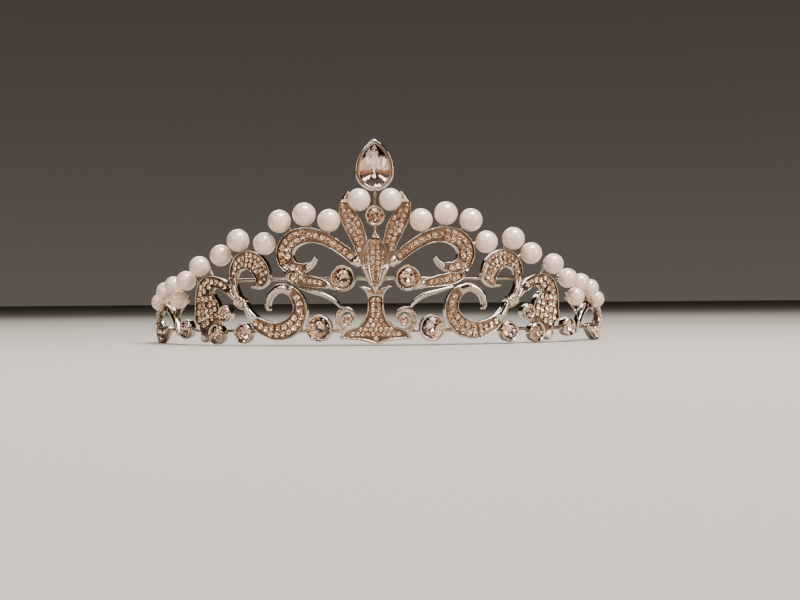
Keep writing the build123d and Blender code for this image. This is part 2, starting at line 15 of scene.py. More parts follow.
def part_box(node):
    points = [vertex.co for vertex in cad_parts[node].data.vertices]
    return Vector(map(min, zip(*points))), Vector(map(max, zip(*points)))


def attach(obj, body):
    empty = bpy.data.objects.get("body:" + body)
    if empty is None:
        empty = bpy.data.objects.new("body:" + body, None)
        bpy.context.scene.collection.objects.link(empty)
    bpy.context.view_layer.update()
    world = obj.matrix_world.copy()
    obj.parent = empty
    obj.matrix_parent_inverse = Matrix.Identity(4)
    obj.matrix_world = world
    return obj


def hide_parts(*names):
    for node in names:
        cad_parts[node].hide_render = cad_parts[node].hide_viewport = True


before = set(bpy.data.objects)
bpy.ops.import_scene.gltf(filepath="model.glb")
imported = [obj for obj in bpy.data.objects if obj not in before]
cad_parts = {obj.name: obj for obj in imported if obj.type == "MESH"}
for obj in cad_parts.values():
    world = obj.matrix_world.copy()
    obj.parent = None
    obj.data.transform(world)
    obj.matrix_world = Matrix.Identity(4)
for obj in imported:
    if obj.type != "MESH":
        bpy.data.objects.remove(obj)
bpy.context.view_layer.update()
MM = 0.001

# %% [markdown]
# Every piece lies on a ring, so it helps to think in ring coordinates: s is the arc length from the
# middle of the front, z the height, and r the distance from the ring's upright axis. These radii are
# the ones that the castings were designed with.

# %% Ring coordinates
LAYOUT_R = 77.0
BACK_R = 75.0
FACE_R = 77.2
FLOOR_R = 76.3


def ring_point(s, z, r):
    """A place on the ring, given in mm, as a point in metres."""
    angle = s / LAYOUT_R
    return Vector((r * math.sin(angle), -r * math.cos(angle), z)) * MM


def ring_frame(s, z, r):
    """Matrix of a place on the ring: X along the ring, Y up, Z outwards."""
    angle = s / LAYOUT_R
    along = Vector((math.cos(angle), math.sin(angle), 0))
    out = Vector((math.sin(angle), -math.cos(angle), 0))
    turn = Matrix((along, Vector((0, 0, 1)), out)).transposed().to_4x4()
    return Matrix.Translation(ring_point(s, z, r)) @ turn


def ring_place(point):
    """(s, z, r) in mm of a point in metres."""
    angle = math.atan2(point.x, -point.y)
    return angle * LAYOUT_R, point.z / MM, math.hypot(point.x, point.y) / MM


print("front of the ring:", [round(v, 4) for v in ring_point(0, 10, FACE_R)])

# %% [markdown]
# Blender's shaders work in linear light, while colours are picked in sRGB. One function turns a hex
# value into a linear colour. Another adds a node with its settings and links, so that each material
# below reads as a short list of what it is made of.

# %% Colour and node helpers
def linear(hex_colour):
    """An sRGB hex colour as linear RGBA."""
    channels = [int(hex_colour[k:k + 2], 16) / 255 for k in (1, 3, 5)]
    return (*[c / 12.92 if c <= 0.04045 else ((c + 0.055) / 1.055) ** 2.4 for c in channels], 1.0)


def add(tree, kind, sockets=None, **settings):
    """Add a node; a socket's value is a plain value, or another node's output to link from."""
    node = tree.nodes.new(kind)
    for name, value in settings.items():
        setattr(node, name, value)
    for name, value in (sockets or {}).items():
        if isinstance(value, bpy.types.NodeSocket):
            tree.links.new(value, node.inputs[name])
        else:
            node.inputs[name].default_value = value
    return node


def new_material(name):
    """An empty material with an output node; returns it, its tree and the output."""
    material = bpy.data.materials.new(name)
    material.use_nodes = True
    material.node_tree.nodes.clear()
    output = add(material.node_tree, "ShaderNodeOutputMaterial")
    return material, material.node_tree, output


def ramp(tree, factor, stops):
    """A colour ramp from (position, colour) pairs."""
    node = add(tree, "ShaderNodeValToRGB", {"Fac": factor})
    elements = node.color_ramp.elements
    while len(elements) < len(stops):
        elements.new(0.5)
    for element, (position, colour) in zip(elements, stops):
        element.position = position
        element.color = colour
    return node.outputs["Color"]


print("half grey in sRGB is", round(linear("#808080")[0], 3), "in linear light")

# %% [markdown]
# Rhodium-plated white metal. The castings are tumbled and buffed before plating, so they are bright
# but never optically flat: the mirror is broken by soft ripples about 1.5 mm long and by very fine
# buffing lines. A metal keeps the default IOR, and the colour does the work.

# %% Polished rhodium plate
RIPPLE_MM = 1.5
GRAIN_MM = 0.12


def plated_metal(name, tint_high, tint_low, roughness, ripple):
    """Plated metal: colour drifts between two tints, with ripples and fine grain in the polish."""
    material, tree, output = new_material(name)
    place = add(tree, "ShaderNodeTexCoord").outputs["Object"]
    drift = add(tree, "ShaderNodeTexNoise",
                {"Vector": place, "Scale": 1 / (6 * MM), "Detail": 3.0})
    waves = add(tree, "ShaderNodeTexNoise",
                {"Vector": place, "Scale": 1 / (RIPPLE_MM * MM), "Detail": 2.0})
    grain = add(tree, "ShaderNodeTexNoise",
                {"Vector": place, "Scale": 1 / (GRAIN_MM * MM), "Detail": 2.0})
    colour = ramp(tree, drift.outputs["Fac"], [(0.35, linear(tint_low)), (0.65, linear(tint_high))])
    gloss = add(tree, "ShaderNodeMapRange", {"Value": grain.outputs["Fac"], "From Min": 0.3,
                "From Max": 0.7, "To Min": roughness * 0.7, "To Max": roughness * 1.5})
    soft = add(tree, "ShaderNodeBump", {"Height": waves.outputs["Fac"], "Strength": ripple,
               "Distance": 0.25 * MM})
    fine = add(tree, "ShaderNodeBump", {"Height": grain.outputs["Fac"], "Strength": 0.15,
               "Distance": 0.02 * MM, "Normal": soft.outputs["Normal"]})
    shader = add(tree, "ShaderNodeBsdfPrincipled", {
        "Base Color": colour, "Metallic": 1.0, "Roughness": gloss.outputs["Result"],
        "Normal": fine.outputs["Normal"]})
    tree.links.new(shader.outputs["BSDF"], output.inputs["Surface"])
    return material


polished = plated_metal("rhodium_plate_buffed", "#D9D0C6", "#B5A797", 0.11, 0.35)
# The channel floors are as cast, so rougher, and their dark brown colour is painted shade of the sunk
# floors between the stones.
as_cast_with_painted_shade = plated_metal("rhodium_plate_as_cast_painted_shade", "#A38B78", "#725D4E", 0.34, 0.6)
bezel_plate = plated_metal("rhodium_plate_turned_bezel", "#DDD6CD", "#BDB1A4", 0.08, 0.2)
wire_plate = plated_metal("rhodium_plated_drawn_wire", "#B9AFA4", "#94887C", 0.2, 0.3)
solder = plated_metal("silver_solder", "#B5ADA4", "#8F867D", 0.28, 0.5)
print("plated metals:", polished.name, as_cast_with_painted_shade.name, bezel_plate.name, wire_plate.name, solder.name)

# %% [markdown]
# Foiled crystal. A rhinestone is lead glass whose pointed underside is silvered and lacquered, so
# light that enters by the crown is thrown back by the mirrored facets. Here the crown is real
# refracting glass and the facets of the underside are the mirror.

# %% Crystal glass and its foil
def crystal_glass(name, tint):
    """Clear lead glass, polished facets, with the faintest tint."""
    material, tree, output = new_material(name)
    place = add(tree, "ShaderNodeTexCoord").outputs["Object"]
    haze = add(tree, "ShaderNodeTexNoise", {"Vector": place, "Scale": 1 / (0.8 * MM), "Detail": 2.0})
    gloss = add(tree, "ShaderNodeMapRange", {"Value": haze.outputs["Fac"], "To Min": 0.0,
                "To Max": 0.04})
    shader = add(tree, "ShaderNodeBsdfPrincipled", {
        "Base Color": linear(tint), "Roughness": gloss.outputs["Result"], "IOR": 1.56,
        "Transmission Weight": 1.0})
    tree.links.new(shader.outputs["BSDF"], output.inputs["Surface"])
    return material


def foil(name, tint_high, tint_low):
    """Silvered and lacquered underside: a mirror whose tint changes from stone to stone."""
    material, tree, output = new_material(name)
    place = add(tree, "ShaderNodeTexCoord").outputs["Object"]
    patch = add(tree, "ShaderNodeTexNoise", {"Vector": place, "Scale": 1 / (1.6 * MM), "Detail": 1.0})
    colour = ramp(tree, patch.outputs["Fac"], [(0.38, linear(tint_low)), (0.62, linear(tint_high))])
    shader = add(tree, "ShaderNodeBsdfPrincipled", {
        "Base Color": colour, "Metallic": 1.0, "Roughness": 0.06})
    tree.links.new(shader.outputs["BSDF"], output.inputs["Surface"])
    return material


clear_glass = crystal_glass("lead_crystal_clear", "#FFFDF9")
clear_foil = foil("silver_foil_back", "#F7F1EA", "#E6D3C6")
rose_foil = foil("silver_foil_back_rose", "#FDF0E8", "#EBCBBD")
pave_glass = crystal_glass("lead_crystal_champagne", "#FFF4EA")
pave_foil = foil("silver_foil_back_warm", "#FFF6EC", "#DABFA9")
print("crystal:", clear_glass.name, clear_foil.name, pave_glass.name, pave_foil.name)

# %% [markdown]
# Imitation pearl. A glass bead is dipped many times in pearl essence, which leaves a cream body with
# a rose depth and a satin sheen under a thin lacquer. The body colour drifts a little from pearl to
# pearl, the shader's own sheen whitens the slanting edge, and light scattered under the skin warms
# the shaded side.

# %% Pearl lacquer
def pearl_lacquer(name):
    """Cream essence under clear lacquer, with a cloudy depth and a pale sheen at a slant."""
    material, tree, output = new_material(name)
    place = add(tree, "ShaderNodeTexCoord").outputs["Object"]
    cloud = add(tree, "ShaderNodeTexNoise", {"Vector": place, "Scale": 1 / (3.0 * MM), "Detail": 3.0})
    essence = ramp(tree, cloud.outputs["Fac"], [(0.3, linear("#EFD3C0")), (0.7, linear("#F8E4D4"))])
    dips = add(tree, "ShaderNodeTexNoise", {"Vector": place, "Scale": 1 / (0.3 * MM), "Detail": 2.0})
    relief = add(tree, "ShaderNodeBump", {"Height": dips.outputs["Fac"], "Strength": 0.08,
                 "Distance": 0.02 * MM})
    shader = add(tree, "ShaderNodeBsdfPrincipled", {
        "Base Color": essence, "Metallic": 0.2, "Roughness": 0.28, "IOR": 1.5,
        "Coat Weight": 0.8, "Coat Roughness": 0.08, "Coat IOR": 1.5,
        "Sheen Weight": 0.25, "Sheen Roughness": 0.35, "Sheen Tint": linear("#FFF6EA"),
        "Subsurface Weight": 0.15, "Subsurface Radius": (0.0014, 0.0008, 0.0006),
        "Subsurface Scale": 1.0, "Normal": relief.outputs["Normal"]})
    tree.links.new(shader.outputs["BSDF"], output.inputs["Surface"])
    return material


pearl_coat = pearl_lacquer("pearl_essence_lacquer")
print("pearl:", pearl_coat.name)

# %% [markdown]
# The CAD nodes hold the stones, bezels and pearls as groups of separate solids. Reading each solid's
# centre and radius back from the node keeps every Blender piece exactly where the design put it.

# %% Read the separate solids of a node
def solids_of(node):
    """The separate solids of a CAD node, each as a list of corner points."""
    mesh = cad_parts[node].data
    keys = {}
    corner = [keys.setdefault(tuple(round(c / MM, 3) for c in v.co), len(keys)) for v in mesh.vertices]
    parent = list(range(len(keys)))

    def root(k):
        while parent[k] != k:
            parent[k] = parent[parent[k]]
            k = parent[k]
        return k

    for polygon in mesh.polygons:
        first = root(corner[polygon.vertices[0]])
        for v in polygon.vertices[1:]:
            parent[root(corner[v])] = first
    groups = {}
    for key, k in keys.items():
        groups.setdefault(root(k), []).append(Vector(key) * MM)
    return list(groups.values())


def middle(points):
    """Centre of the box round some points."""
    low = Vector([min(p[k] for p in points) for k in range(3)])
    high = Vector([max(p[k] for p in points) for k in range(3)])
    return (low + high) / 2


def round_places(node):
    """(s, z, radius in mm) of every round solid in a node that points outwards from the ring."""
    places = []
    for points in solids_of(node):
        s, z, _ = ring_place(middle(points))
        along = ring_frame(s, z, BACK_R).inverted()
        flat = [along @ p for p in points]
        places.append((s, z, max(math.hypot(p.x, p.y) for p in flat) / MM))
    return places


print("large bezels:", [tuple(round(v, 1) for v in p) for p in round_places("large_bezels_right")])

# %% [markdown]
# Every piece becomes an object in the same way: its mesh, its materials, the body it rides on, and the CAD
# node it stands for. The tiara is soldered and glued, so it has one body.

# %% Finish a piece
def piece(name, vertices, faces, materials, nodes=(), looks=None, smooth=True, sharp=40):
    """Make the object of a piece from its mesh lists."""
    mesh = bpy.data.meshes.new(name)
    mesh.from_pydata([tuple(v) for v in vertices], [], faces)
    for material in materials:
        mesh.materials.append(material)
    if looks:
        mesh.polygons.foreach_set("material_index", looks)
    work = bmesh.new()
    work.from_mesh(mesh)
    bmesh.ops.recalc_face_normals(work, faces=work.faces)
    work.to_mesh(mesh)
    work.free()
    mesh.polygons.foreach_set("use_smooth", [smooth] * len(mesh.polygons))
    if smooth:
        mesh.set_sharp_from_angle(angle=math.radians(sharp))
    made = bpy.data.objects.new(name, mesh)
    bpy.context.scene.collection.objects.link(made)
    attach(made, "root")
    if nodes:
        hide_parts(*nodes)
    return made


def join(parts):
    """Join mesh lists (vertices, faces, looks) into one."""
    vertices, faces, looks = [], [], []
    for part_vertices, part_faces, part_looks in parts:
        start = len(vertices)
        vertices += part_vertices
        faces += [[start + k for k in face] for face in part_faces]
        looks += part_looks
    return vertices, faces, looks


def skin(rows, closed=True, caps=True):
    """Faces between rows of points; each row is a loop if closed. Returns (vertices, faces, looks)."""
    count = len(rows[0])
    vertices = [p for row in rows for p in row]
    faces = []
    for a in range(len(rows) - 1):
        for k in range(count if closed else count - 1):
            b = (k + 1) % count
            faces.append([a * count + k, a * count + b, (a + 1) * count + b, (a + 1) * count + k])
    if caps:
        faces.append(list(range(count))[::-1])
        faces.append([(len(rows) - 1) * count + k for k in range(count)])
    return vertices, faces, [0] * len(faces)


def closed_sweep(rows, caps=False):
    """Like skin, but the last row meets the first; caps close an open profile's two ends."""
    around, count = len(rows), len(rows[0])
    vertices, faces, _ = skin([*rows, rows[0]], closed=not caps, caps=False)
    kept = around * count
    faces = [[k % kept for k in face] for face in faces]
    if caps:
        faces.append([k * count for k in range(around)])
        faces.append([k * count + count - 1 for k in range(around)])
    return vertices[:kept], faces, [0] * len(faces)


print("piece, join, skin and closed_sweep are ready")

# %% [markdown]
# The scrolls are castings. Each is a band that follows a curved centre line on the ring, with a width
# that swells and tapers like a penstroke. The lists give the centre line as (s, z, width) in mm. A
# cross-section is swept along it: a stretch with stones has two round rims and a sunk floor, and the
# rest is a polished dome. Sweeping gives clean loops along the band, so reflections run smoothly.
# The leaf starts inside the arch, so its first stretch is sunk below the arch's stones.

# %% Centre lines of the scrolls
BANDS = {
    "arch": [
        (5.6, 25.1, 2.9), (8.4, 27.8, 3.4), (11.9, 30.3, 3.6), (15.8, 32.4, 4.0), (20.2, 33.4, 4.6),
        (24.4, 32.7, 5.3), (27.4, 30.4, 5.6), (28.2, 27.4, 5.6), (27.0, 24.8, 5.0), (24.6, 23.5, 3.8),
        (21.9, 23.6, 2.8), (19.7, 24.7, 1.9), (18.4, 26.3, 1.1)],
    "leaf": [
        (27.6, 25.4, 4.4), (26.2, 22.0, 4.4), (23.0, 20.1, 4.0), (19.2, 19.4, 3.5), (15.4, 18.6, 2.5),
        (12.6, 17.4, 1.1)],
    "rib": [(23.4, 17.6, 1.0), (19.1, 16.4, 1.4), (15.5, 15.4, 1.6), (12.7, 13.9, 1.5),
            (10.6, 11.9, 1.1)],
    "c_scroll": [
        (42.3, 12.6, 1.8), (41.0, 10.0, 2.6), (37.6, 6.6, 4.2), (32.0, 4.5, 5.2), (27.2, 5.3, 5.6),
        (23.9, 8.6, 5.0), (23.3, 12.3, 4.4), (25.0, 15.6, 3.6), (28.2, 17.4, 3.0), (31.3, 17.2, 2.7),
        (33.6, 15.2, 2.2), (34.3, 12.8, 1.6), (34.0, 11.2, 1.0)],
    "comma": [
        (44.7, 14.9, 1.2), (46.4, 17.6, 1.8), (47.2, 20.6, 2.4), (46.6, 23.4, 3.4), (44.4, 25.6, 4.9),
        (41.3, 26.3, 5.7), (38.4, 25.2, 6.0), (36.5, 22.9, 6.0), (36.2, 20.4, 5.0), (37.7, 18.5, 2.6),
        (39.6, 18.1, 1.0)],
    "cane": [
        (46.4, 14.6, 1.8), (49.4, 17.4, 3.1), (52.7, 19.2, 3.4), (55.9, 19.7, 4.0), (58.6, 18.9, 5.6),
        (60.2, 16.9, 7.4), (60.0, 14.2, 9.6), (59.1, 11.2, 12.0), (58.5, 8.2, 12.8), (58.8, 5.2, 10.0),
        (60.4, 2.4, 3.2)],
    "end": [
        (75.8, 3.4, 1.4), (78.8, 7.6, 1.9), (83.2, 10.6, 2.3), (88.6, 12.0, 2.6), (94.4, 12.0, 3.1),
        (99.6, 10.6, 3.9), (102.6, 7.4, 4.8), (100.6, 4.0, 5.0), (96.0, 2.8, 5.4), (90.8, 3.2, 4.8),
        (86.4, 4.6, 2.6)],
    "lobe": [
        (8.0, 45.6, 1.4), (9.0, 42.6, 3.6), (8.2, 39.4, 5.0), (6.5, 36.2, 5.6), (5.1, 32.8, 5.0),
        (4.1, 29.2, 4.0), (3.2, 25.2, 3.0), (2.1, 21.4, 2.2), (1.2, 18.6, 1.4)],
    "middle": [
        (0, 34.2, 1.0), (0, 32.4, 3.0), (0, 30.4, 5.4), (0, 28.2, 7.0), (0, 26.0, 7.4), (0, 23.8, 6.6),
        (0, 21.6, 5.2), (0, 19.4, 3.4), (0, 16.6, 1.3)],
    "curl": [
        (9.0, 4.6, 1.6), (10.9, 5.7, 1.6), (11.6, 7.8, 1.6), (10.9, 9.9, 1.6), (9.0, 11.0, 1.5),
        (7.1, 10.4, 1.3), (6.2, 8.9, 0.9)],
}
CHANNELS = {"arch": (0.02, 0.87), "leaf": (0.20, 0.84), "c_scroll": (0.12, 0.62),
            "comma": (0.20, 0.90), "cane": (0.08, 0.97), "end": (0.22, 0.97),
            "lobe": (0.09, 0.80), "middle": (0.12, 0.92)}
SUNK_STARTS = {"leaf": 0.20}
THICKNESS = FACE_R - BACK_R
FLOOR = FLOOR_R - BACK_R


def smooth_line(stations, steps=6):
    """Stations on a Catmull-Rom curve through the given ones."""
    ends = [stations[0], *stations, stations[-1]]
    dense = []
    for a, b, c, d in zip(ends, ends[1:], ends[2:], ends[3:]):
        for k in range(steps):
            t = k / steps
            dense.append(tuple(
                0.5 * (2 * q + (r - p) * t + (2 * p - 5 * q + 4 * r - u) * t**2
                       + (3 * q - 3 * r + u - p) * t**3)
                for p, q, r, u in zip(a, b, c, d)))
    return [*dense, stations[-1]]


print({name: len(smooth_line(line)) for name, line in BANDS.items()})

# %% [markdown]
# The cross-section of a casting has two states. In a channel it has a rim at each side, 0.38 mm
# wide and rounded by polishing, and a flat floor between them. Elsewhere it is one low dome. Both
# have the same number of points, so a share called channel can blend one into the other along the
# band, which is how a real channel runs out into solid metal.

# %% Cross-section of a casting
DOME_RISE = 0.35
DOME_FOOT = 1.5
WALL_TOP = 1.3


def ease(low, high, value):
    """0 below low, 1 above high, smooth between."""
    t = min(max((value - low) / (high - low), 0), 1)
    return t * t * (3 - 2 * t)


RIM_PROFILE = [(0.25, 0.0), (0.05, 0.12), (0.0, 0.5), (0.0, 1.3), (0.02, 1.88), (0.07, 2.1),
               (0.13, 2.18), (0.19, 2.2), (0.25, 2.18), (0.31, 2.1), (0.35, 1.88),
               (0.38, FLOOR + 0.1), (0.43, FLOOR + 0.02)]
FLOOR_SHARES = (0.15, 0.5, 0.85)


def dome_height(share):
    """Height of the polished dome at a share of the half width."""
    return DOME_FOOT + (THICKNESS + DOME_RISE - DOME_FOOT) * math.sqrt(max(1 - share**2, 0))


def cross_section(width, channel):
    """(sideways, height) points of the section, from its left foot over the face to its right."""
    half = width / 2
    shrink = min(1.0, half / 1.0)
    left = []
    for inset, height in RIM_PROFILE:
        side = half - inset * shrink
        dome = dome_height(side / half)
        left.append((side, height if height <= WALL_TOP else dome + (height - dome) * channel))
    inner = left[-1][0]
    flat = []
    for share in FLOOR_SHARES:
        side = inner * (1 - 2 * share)
        dome = dome_height(side / half)
        flat.append((side, dome + (FLOOR - dome) * channel))
    right = [(-side, height) for side, height in reversed(left)]
    return left + flat + right


print("a section has", len(cross_section(4.0, 1.0)), "points")

# %% [markdown]
# Sweeping the section puts one row of points at each station, square to the centre line. At the two
# ends the rows shrink along a quarter circle, so that the band ends in a round tip. A slow noise of
# 0.05 mm on the face takes away the look of a machine, as hand polishing does.

# %% Sweep a casting
CHANNEL_EASE = 0.035
SUNK_EASE = 0.05
SUNK_DEPTH = 0.15
TIP_ANGLES = (0.0, 0.35, 0.75, 1.15)
TIP_SLIMMEST = 0.12
TIP_DROOP = 0.25
WOBBLE_MM = 0.05
WOBBLE_FROM = 1.4


def swept_band(name, mirror=1, lift=0.0):
    """Sweep the section along a band. The rims are look 0 and the channel floor is look 1."""
    line = smooth_line(BANDS[name])
    start, stop = CHANNELS.get(name, (2, 3))
    rows, shares = [], []
    last = len(line) - 1
    for k, (s, z, width) in enumerate(line):
        before, after = line[max(k - 1, 0)], line[min(k + 1, last)]
        ds, dz = after[0] - before[0], after[1] - before[1]
        length = math.hypot(ds, dz)
        share = k / last
        channel = ease(start, start + CHANNEL_EASE, share) * (1 - ease(stop - CHANNEL_EASE, stop, share))
        sunk = 1 - ease(SUNK_STARTS.get(name, 0.0) - SUNK_EASE, SUNK_STARTS.get(name, 0.0), share)
        tangent, normal = (ds / length, dz / length), (-dz / length, ds / length)
        tips = [(0.0, 1.0)]
        tip = [(math.cos(a), max(math.sin(a), TIP_SLIMMEST)) for a in TIP_ANGLES]
        if k == 0:
            tips = [(-ahead, narrow) for ahead, narrow in tip] + tips
        if k == last:
            tips = tips + tip[::-1]
        for ahead, narrow in tips:
            at = (s + tangent[0] * ahead * width / 2, z + tangent[1] * ahead * width / 2)
            section = cross_section(width * narrow, channel if ahead == 0.0 else 0.0)
            droop = 1 - TIP_DROOP * (1 - narrow)
            row = []
            for side, height in section:
                wobble = noise.noise(Vector((at[0] * 0.45, at[1] * 0.45, side * 0.6))) * WOBBLE_MM
                tall = height * droop + (wobble if height > WOBBLE_FROM else 0) + lift
                if name in SUNK_STARTS:
                    tall += (min(tall, FLOOR - SUNK_DEPTH) - tall) * sunk
                row.append(ring_point(mirror * (at[0] + normal[0] * side), at[1] + normal[1] * side,
                                      BACK_R + tall))
            rows.append(row)
            shares.append(channel)
    vertices, faces, looks = skin(rows)
    count = len(rows[0])
    first_floor, last_floor = len(RIM_PROFILE) - 2, count - len(RIM_PROFILE) + 1
    # Faces of the channel floor take the second material, whose dark brown is painted shade.
    for number in range(len(looks) - 2):
        row, column = divmod(number, count)
        if first_floor <= column < last_floor and shares[row] > 0.4:
            looks[number] = 1
    return vertices, faces, looks


SCROLLS = {"big_scroll": ["arch", "leaf"], "leaf_rib": ["rib"], "c_scroll": ["c_scroll"],
           "comma_scroll": ["comma"], "cane_scroll": ["cane"], "end_scroll": ["end"]}
for scroll, bands in SCROLLS.items():
    for side, mirror in (("right", 1), ("left", -1)):
        vertices, faces, looks = join([swept_band(band, mirror) for band in bands])
        made = piece(f"{scroll}_{side}_casting", vertices, faces, [polished, as_cast_with_painted_shade],
                     [f"{scroll}_{side}"], looks)

# %% [markdown]
# The centre plume is one casting too: two leaves that lean apart and a middle lobe that lies over
# their feet.

# %% Centre plume
MIDDLE_LIFT = 0.12
leaves = [swept_band("lobe", 1), swept_band("lobe", -1)]
vertices, faces, looks = join([*leaves, swept_band("middle", 1, MIDDLE_LIFT)])
plume = piece("centre_plume_casting", vertices, faces, [polished, as_cast_with_painted_shade], ["centre_plume"],
              looks)
print(plume.name, len(plume.data.polygons), "faces")

# %% [markdown]
# The centre foot stands under the plume: a stem with two horns at the top, a flared base with a low
# tip, and a curl on each side. Its shape branches, so a swept section doesn't suit it. A fine voxel
# remesh of the design's own solid, relaxed a little, rounds every edge the way polishing does.

# %% Centre foot
VOXEL_MM = 0.13
WELD_MM = 0.005
RELAX_STEPS = 12
FLOOR_BELOW_FACE = 0.5


def polished_copy(name, node, materials, look_of):
    """Copy a CAD node, remesh it finely and relax it; look_of gives each face its material."""
    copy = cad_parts[node].data.copy()
    work = bpy.data.objects.new(name, copy)
    bpy.context.scene.collection.objects.link(work)
    weld = work.modifiers.new("weld", "WELD")
    weld.merge_threshold = WELD_MM * MM
    remesh = work.modifiers.new("remesh", "REMESH")
    remesh.mode = "VOXEL"
    remesh.voxel_size = VOXEL_MM * MM
    relax = work.modifiers.new("relax", "SMOOTH")
    relax.factor = 0.5
    relax.iterations = RELAX_STEPS
    shaped = bpy.data.meshes.new_from_object(work.evaluated_get(bpy.context.evaluated_depsgraph_get()))
    bpy.data.objects.remove(work)
    vertices = [v.co.copy() for v in shaped.vertices]
    faces = [list(face.vertices) for face in shaped.polygons]
    looks = [look_of(face) for face in shaped.polygons]
    return piece(name, vertices, faces, materials, [node], looks, sharp=80)


def floor_or_rim(face):
    """1 on a channel floor, which faces outwards below the rim, and 0 elsewhere."""
    _, _, r = ring_place(face.center)
    out = Vector((face.center.x, face.center.y, 0)).normalized()
    return 1 if face.normal.dot(out) > 0.6 and r < FACE_R - FLOOR_BELOW_FACE else 0


# The foot's channel floors take the same dark brown material, which is painted shade.
foot = polished_copy("centre_foot_casting", "centre_foot", [polished, as_cast_with_painted_shade], floor_or_rim)
print(foot.name, len(foot.data.polygons), "faces")

# %% [markdown]
# A round brilliant has a flat table, a ring of kites and small triangles on its crown, a thin girdle,
# and a pointed underside of long facets. A formula gives all its corners from three shares, and it
# works for any outline that is a distance from the centre at each angle, so the pear uses it too.

# %% Cut a stone
TABLE_SHARE = 0.56
KITE_SHARE = 0.80
LOWER_SHARE = 0.30


def cut_stone(reach, mains, crown, girdle, depth, table=TABLE_SHARE):
    """Corners, faces and looks of a brilliant. Look 0 is the glass crown and 1 the foiled underside."""
    corners, faces, looks = [], [], []
    half_step = math.pi / mains

    def ring_of(share, height, shift, count):
        start = len(corners)
        for k in range(count):
            angle = (k + shift) * 2 * math.pi / count
            corners.append(Vector((share * reach(angle) * math.cos(angle),
                                   share * reach(angle) * math.sin(angle), height)))
        return start

    kite_height = crown * (1 - KITE_SHARE * math.cos(half_step)) / (1 - table)
    lower_height = -girdle - depth * (1 - LOWER_SHARE * math.cos(half_step))
    top = ring_of(table, crown, 0, mains)
    kite = ring_of(KITE_SHARE, kite_height, 0.5, mains)
    upper = ring_of(1.0, 0.0, 0, 2 * mains)
    lower = ring_of(1.0, -girdle, 0, 2 * mains)
    under = ring_of(LOWER_SHARE, lower_height, 0.5, mains)
    corners.append(Vector((0, 0, -girdle - depth)))
    point = len(corners) - 1
    faces.append([top + k for k in range(mains)])
    for k in range(mains):
        after, back = (k + 1) % mains, (k - 1) % mains
        even, odd, following = 2 * k, 2 * k + 1, (2 * k + 2) % (2 * mains)
        faces.append([top + k, kite + k, top + after])
        faces.append([top + k, kite + back, upper + even, kite + k])
        faces.append([kite + k, upper + even, upper + odd])
        faces.append([kite + k, upper + odd, upper + following])
    for k in range(2 * mains):
        faces.append([upper + k, lower + k, lower + (k + 1) % (2 * mains), upper + (k + 1) % (2 * mains)])
    looks += [0] * len(faces)
    for k in range(mains):
        back = (k - 1) % mains
        even, odd, following = 2 * k, 2 * k + 1, (2 * k + 2) % (2 * mains)
        faces.append([point, under + k, lower + even, under + back])
        faces.append([under + k, lower + odd, lower + even])
        faces.append([under + k, lower + following, lower + odd])
    looks += [1] * (len(faces) - len(looks))
    return corners, faces, looks


def set_stone(stone, place):
    """The stone's mesh lists with its corners in mm moved to a place on the ring."""
    corners, faces, looks = stone
    return [place @ (corner * MM) for corner in corners], faces, looks


sample = cut_stone(lambda angle: 1.0, 8, 0.3, 0.05, 0.8)
print("a brilliant has", len(sample[1]), "facets")

# %% [markdown]
# Pave crystals sit so close that little metal shows between them. Each one is set by hand, a few
# degrees off true, which is why a pave surface glitters as it turns. The prongs are tiny beads of
# metal that the setter raised between the stones. Two neighbours closer than NEAR radii share a
# bead at each side of the line between them.

# %% Pave crystals and their beads
PAVE_MAINS = 6
GIRDLE_SHARE = 0.82
CROWN_SHARE = 0.36
GIRDLE_MM = 0.05
POINT_ROOM = 0.08
SEAT_TILT = 4.0
BEAD_R = 0.21
BEAD_RISE = 0.62
BEAD_ASIDE = 0.92
NEAR = 3.2


def bead(place, radius):
    """A small round bead, as mesh lists."""
    rows = []
    for k in range(1, 4):
        angle = math.pi * k / 4
        rows.append([place @ (Vector((math.sin(angle) * math.cos(turn * math.pi / 4),
                                      math.sin(angle) * math.sin(turn * math.pi / 4),
                                      math.cos(angle))) * radius * MM) for turn in range(8)])
    vertices, faces, looks = skin(rows, caps=False)
    vertices += [place @ Vector((0, 0, radius * MM)), place @ Vector((0, 0, -radius * MM))]
    pole, foot_pole = len(vertices) - 2, len(vertices) - 1
    for k in range(8):
        faces.append([pole, k, (k + 1) % 8])
        faces.append([foot_pole, 16 + (k + 1) % 8, 16 + k])
    return vertices, faces, [0] * len(faces)


def bead_spots(stones):
    """Places between neighbouring stones, none closer than a bead to another."""
    spots = []
    for k, (s, z, radius) in enumerate(stones):
        for other_s, other_z, _ in stones[k + 1:]:
            gap = math.dist((s, z), (other_s, other_z))
            if gap > NEAR * radius:
                continue
            across = ((z - other_z) / gap, (other_s - s) / gap)
            for way in (-1, 1):
                spot = ((s + other_s) / 2 + way * across[0] * radius * BEAD_ASIDE,
                        (z + other_z) / 2 + way * across[1] * radius * BEAD_ASIDE)
                clear = all(math.dist(spot, (a, b)) > radius + BEAD_R * 0.35 for a, b, _ in stones)
                if clear and all(math.dist(spot, known) > 2.2 * BEAD_R for known in spots):
                    spots.append(spot)
    return spots


